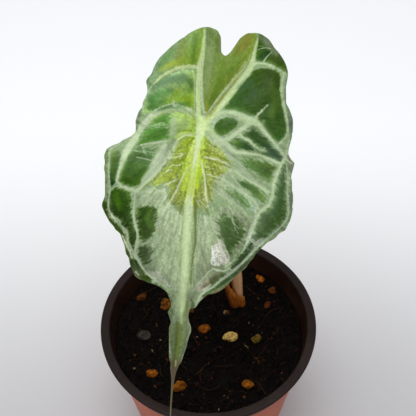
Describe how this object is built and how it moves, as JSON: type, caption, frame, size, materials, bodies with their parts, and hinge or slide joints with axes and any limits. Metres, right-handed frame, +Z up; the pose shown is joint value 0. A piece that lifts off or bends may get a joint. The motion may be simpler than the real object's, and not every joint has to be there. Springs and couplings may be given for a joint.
{
  "type": "potted alocasia plant",
  "caption": "Small potted alocasia: arrow-shaped silvery green leaf with a long drip tip on an upright petiole, in a round tapered nursery pot of bark mix",
  "frame": {"origin": "middle of the pot's flat base, on the pot's axis", "axes": "+Z up along the pot's axis, -Y towards the front, where the leaf's drip tip points, +X to the right"},
  "size_m": [0.11, 0.1337, 0.2486],
  "materials": {
    "pot_plastic": "thin moulded plastic, terracotta outside, dark brown inside and on the rim",
    "soil": "dark damp bark mix, granular",
    "corm": "rough brown skin with pale roots",
    "petiole": "smooth, semi-gloss, pale pinkish at the foot and green above",
    "dry_sheath": "dry papery brown, ribbed",
    "leaf": "thick, silvery green with dark green patches, semi-gloss",
    "perlite": "porous, matt",
    "bark": "rough reddish bark"
  },
  "bodies": {
    "root": {"nursery_pot": "pot_plastic", "potting_soil": "soil", "corm_with_roots": "corm", "petiole": "petiole", "basal_sheath": "dry_sheath", "leaf_blade": "leaf", "perlite_01": "perlite", "bark_chip_01": "bark", "bark_chip_02": "bark", "bark_chip_03": "bark", "bark_chip_04": "bark", "bark_chip_05": "bark", "bark_chip_06": "bark", "bark_chip_07": "bark", "bark_chip_08": "bark", "bark_chip_09": "bark", "bark_chip_10": "bark", "bark_chip_11": "bark", "bark_chip_12": "bark"}
  },
  "joints": []
}
